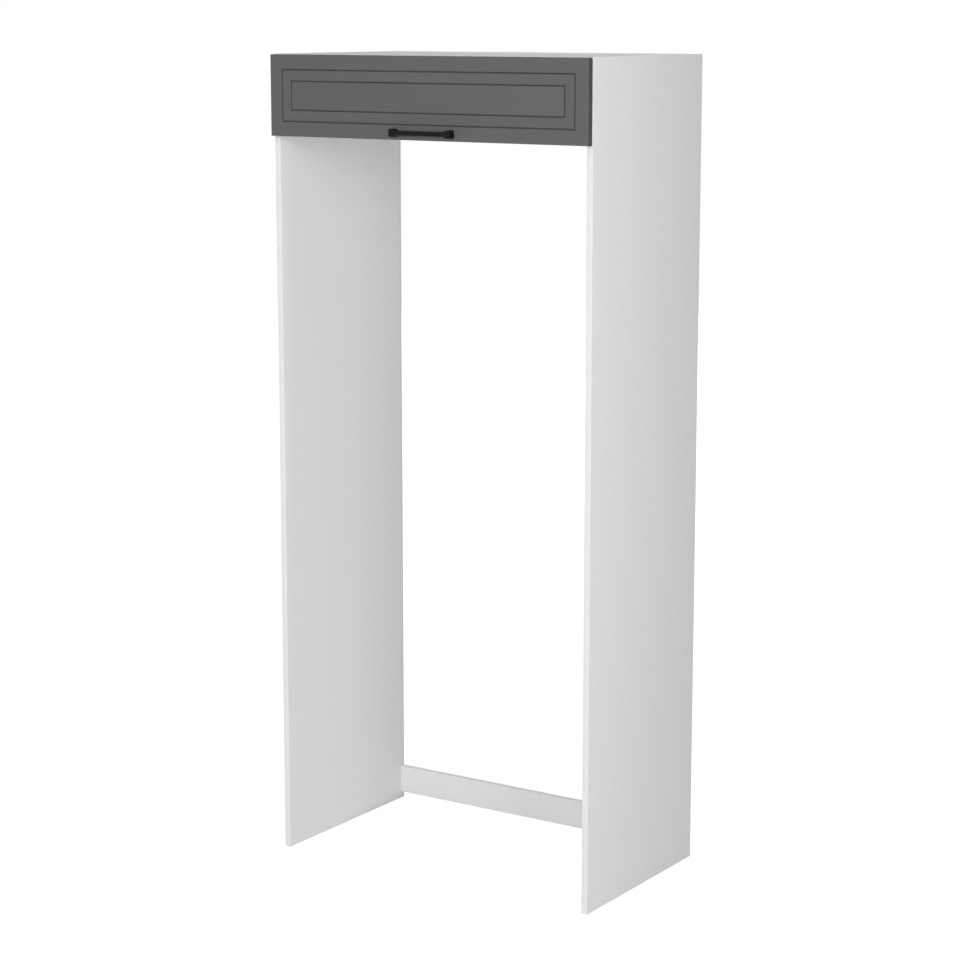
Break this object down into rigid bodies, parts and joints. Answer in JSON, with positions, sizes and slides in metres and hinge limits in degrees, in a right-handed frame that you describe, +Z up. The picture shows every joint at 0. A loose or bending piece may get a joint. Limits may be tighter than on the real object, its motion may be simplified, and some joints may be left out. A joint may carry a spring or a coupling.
{
  "type": "fridge housing unit",
  "caption": "Tall white open housing for a fridge, with a low top compartment behind a grey lift-up flap and a rail low at the back.",
  "frame": {"origin": "middle of the whole unit's outline at floor level, from the handle's front to the sides' back edges", "axes": "+Z up, +Y from the flap towards the wall, +X to the right for someone who faces the flap"},
  "size_m": [0.9, 0.5414, 2],
  "materials": {
    "white_board": "white melamine-faced chipboard with matching edging, fine pearl grain",
    "white_hardboard": "white-faced thin hardboard",
    "grey_front": "matt dark-grey foil on milled fibreboard",
    "black_handle": "matt black coated zinc casting",
    "nickel_steel": "nickel-plated steel",
    "zinc_cam": "bare die-cast zinc",
    "grey_tube": "grey lacquered steel tube",
    "beech_dowel": "plain beech",
    "clear_bumper": "soft clear silicone"
  },
  "bodies": {
    "root": {"side_left": "white_board", "side_right": "white_board", "compartment_top": "white_board", "compartment_floor": "white_board", "rear_rail": "white_board", "back_panel": "white_hardboard", "hinge_arm_left": "nickel_steel", "hinge_arm_right": "nickel_steel", "hinge_plate_left": "nickel_steel", "hinge_plate_right": "nickel_steel", "strut_bracket_left": "nickel_steel", "strut_bracket_right": "nickel_steel", "wall_bracket_left": "nickel_steel", "wall_bracket_right": "nickel_steel", "cam_top_left_front": "zinc_cam", "cam_top_left_back": "zinc_cam", "cam_top_right_front": "zinc_cam", "cam_top_right_back": "zinc_cam", "cam_floor_left_front": "zinc_cam", "cam_floor_left_back": "zinc_cam", "cam_floor_right_front": "zinc_cam", "cam_floor_right_back": "zinc_cam", "cam_rail_left": "zinc_cam", "cam_rail_right": "zinc_cam", "cam_bolt_top_left_front": "nickel_steel", "cam_bolt_top_left_back": "nickel_steel", "cam_bolt_top_right_front": "nickel_steel", "cam_bolt_top_right_back": "nickel_steel", "cam_bolt_floor_left_front": "nickel_steel", "cam_bolt_floor_left_back": "nickel_steel", "cam_bolt_floor_right_front": "nickel_steel", "cam_bolt_floor_right_back": "nickel_steel", "cam_bolt_rail_left": "nickel_steel", "cam_bolt_rail_right": "nickel_steel", "dowel_top_left": "beech_dowel", "dowel_top_right": "beech_dowel", "dowel_floor_left": "beech_dowel", "dowel_floor_right": "beech_dowel", "dowel_rail_left": "beech_dowel", "dowel_rail_right": "beech_dowel"},
    "flap": {"flap": "grey_front", "handle": "black_handle", "handle_screw_left": "nickel_steel", "handle_screw_right": "nickel_steel", "hinge_cup_left": "nickel_steel", "hinge_cup_right": "nickel_steel", "flap_bumper_left": "clear_bumper", "flap_bumper_right": "clear_bumper", "flap_bracket_left": "nickel_steel", "flap_bracket_right": "nickel_steel"},
    "hinge_lever_left": {"hinge_lever_left": "nickel_steel"},
    "strut_tube_left": {"strut_tube_left": "grey_tube"},
    "strut_rod_left": {"strut_rod_left": "nickel_steel"},
    "hinge_lever_right": {"hinge_lever_right": "nickel_steel"},
    "strut_tube_right": {"strut_tube_right": "grey_tube"},
    "strut_rod_right": {"strut_rod_right": "nickel_steel"}
  },
  "joints": [
    {"name": "flap_lift", "type": "hinge", "parent": "root", "child": "flap", "pos_m": [0, -0.24325, 1.9945], "axis": [-1, 0, 0], "range_deg": [0, 90]},
    {"name": "lever_left_turn", "type": "hinge", "parent": "root", "child": "hinge_lever_left", "pos_m": [-0.33, -0.23075, 1.968], "axis": [1, 0, 0], "range_deg": [0, 12.1]},
    {"name": "strut_left_swing", "type": "hinge", "parent": "root", "child": "strut_tube_left", "pos_m": [-0.422, -0.06325, 1.965], "axis": [-1, 0, 0], "range_deg": [0, 10.3]},
    {"name": "strut_left_extend", "type": "slide", "parent": "strut_tube_left", "child": "strut_rod_left", "axis": [0, -0.9902, -0.1397], "range_m": [0, 0.0712]},
    {"name": "lever_right_turn", "type": "hinge", "parent": "root", "child": "hinge_lever_right", "pos_m": [0.33, -0.23075, 1.968], "axis": [1, 0, 0], "range_deg": [0, 12.1]},
    {"name": "strut_right_swing", "type": "hinge", "parent": "root", "child": "strut_tube_right", "pos_m": [0.422, -0.06325, 1.965], "axis": [-1, 0, 0], "range_deg": [0, 10.3]},
    {"name": "strut_right_extend", "type": "slide", "parent": "strut_tube_right", "child": "strut_rod_right", "axis": [0, -0.9902, -0.1397], "range_m": [0, 0.0712]}
  ],
  "couplings": [
    {"joint": "lever_left_turn", "follows": "flap_lift", "ratio": 0.13333},
    {"joint": "strut_left_swing", "follows": "flap_lift", "ratio": 0.1139},
    {"joint": "strut_left_extend", "follows": "flap_lift", "m_per_rad": 0.045261},
    {"joint": "lever_right_turn", "follows": "flap_lift", "ratio": 0.13333},
    {"joint": "strut_right_swing", "follows": "flap_lift", "ratio": 0.1139},
    {"joint": "strut_right_extend", "follows": "flap_lift", "m_per_rad": 0.045261}
  ]
}
